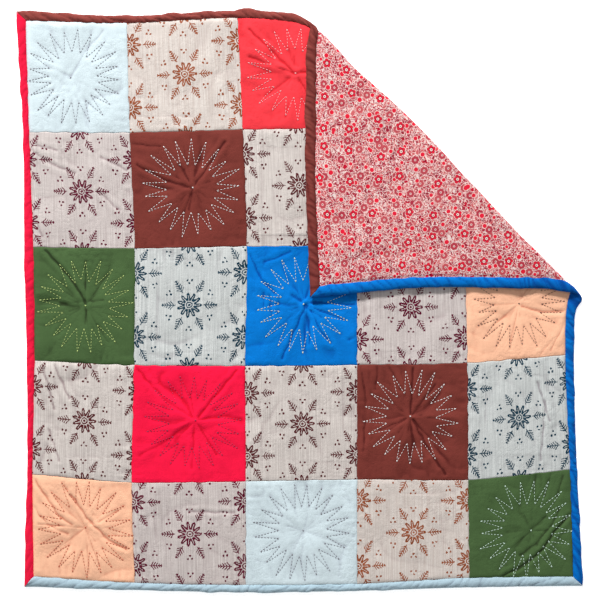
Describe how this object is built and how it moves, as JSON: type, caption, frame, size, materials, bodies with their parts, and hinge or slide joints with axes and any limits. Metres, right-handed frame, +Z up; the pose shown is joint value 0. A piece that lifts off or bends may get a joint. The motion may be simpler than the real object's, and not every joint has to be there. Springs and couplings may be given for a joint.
{
  "type": "patchwork quilt",
  "caption": "Square padded patchwork quilt laid flat with one corner turned back over a soft diagonal fold, bound on all sides.",
  "frame": {"origin": "centre of the laid quilt's box, on the surface that it lies on", "axes": "+X across the quilt from its left edge to its right, +Y from its foot to its head, +Z up out of its patchwork face"},
  "size_m": [1.499, 1.54, 0.023],
  "materials": {
    "patchwork_cotton": "matt woven cotton",
    "backing_print": "matt printed cotton",
    "binding_red": "matt woven cotton",
    "binding_brown": "matt woven cotton",
    "binding_blue": "matt woven cotton",
    "binding_pale_blue": "matt woven cotton"
  },
  "bodies": {
    "root": {"quilt_top": "patchwork_cotton", "backing": "backing_print", "binding_left": "binding_red", "binding_head": "binding_brown", "binding_right": "binding_blue", "binding_foot": "binding_pale_blue"}
  },
  "joints": []
}
